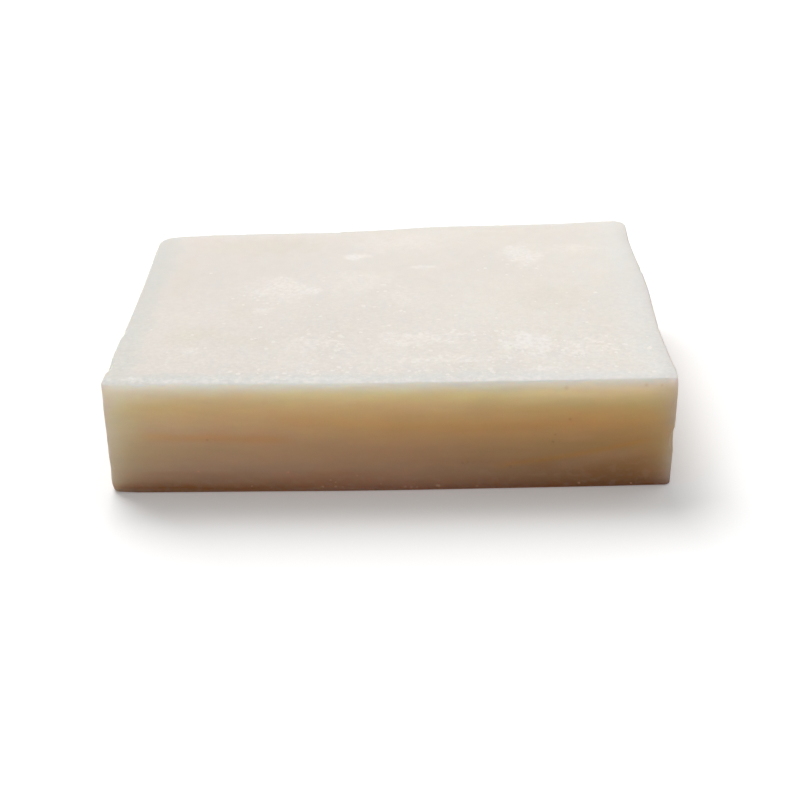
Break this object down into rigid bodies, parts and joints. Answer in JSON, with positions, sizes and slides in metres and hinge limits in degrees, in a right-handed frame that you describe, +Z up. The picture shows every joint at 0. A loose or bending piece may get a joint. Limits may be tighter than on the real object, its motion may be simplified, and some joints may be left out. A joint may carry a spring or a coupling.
{
  "type": "bar of soap",
  "caption": "Rectangular bar of natural soap, cut by hand, with a flat underside, slightly bowed cut faces and softened edges.",
  "frame": {"origin": "middle of the footprint, on the flat underside that the bar lies on", "axes": "+X along the bar's length, to the right when facing the long cut face that looks towards -Y; +Y to the back; +Z up through its thickness"},
  "size_m": [0.091, 0.0678, 0.0202],
  "materials": {
    "soap": "dull waxy cured soap, with pale dried rims and a fine white bloom on the top"
  },
  "bodies": {
    "root": {"soap_bar": "soap"}
  },
  "joints": []
}
